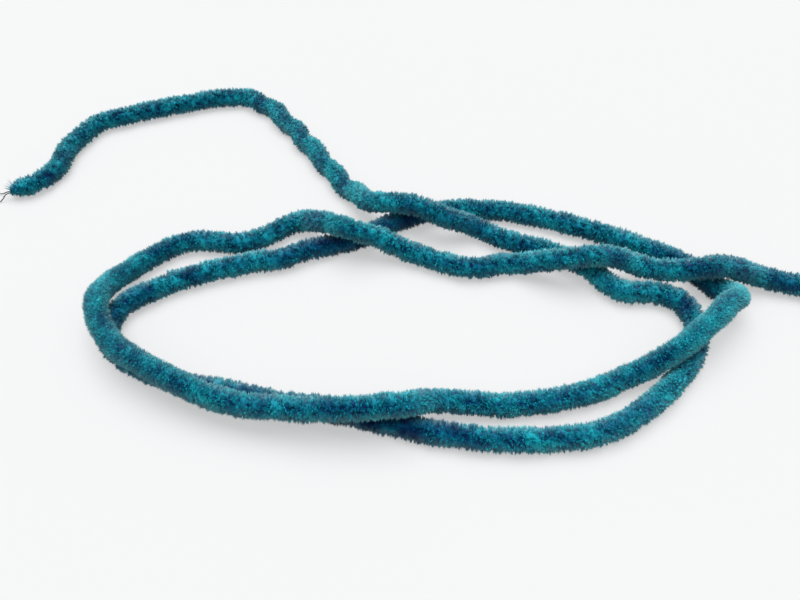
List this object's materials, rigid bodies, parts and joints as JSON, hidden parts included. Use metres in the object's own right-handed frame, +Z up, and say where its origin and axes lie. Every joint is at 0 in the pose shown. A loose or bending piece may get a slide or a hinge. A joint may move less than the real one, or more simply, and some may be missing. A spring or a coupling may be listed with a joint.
{
  "type": "chenille yarn",
  "caption": "Length of thick, soft chenille yarn with a dense short pile, lying in two loose loops that cross over each other, with one frayed cut end showing its core threads",
  "frame": {"origin": "on the surface that the yarn rests on, below the middle of its bounding box", "axes": "+X along the two loops from the frayed end towards the far cut end, +Y across them from the near strands to the far ones, +Z up from the surface"},
  "size_m": [0.2399, 0.1252, 0.0119],
  "materials": {
    "chenille_pile": "dense velvety pile, matt with a soft sheen, mottled from navy teal to light turquoise",
    "core_thread": "thin dark spun thread, matt"
  },
  "bodies": {
    "root": {"yarn": "chenille_pile", "core_thread_far": "core_thread", "core_thread_near": "core_thread"}
  },
  "joints": []
}
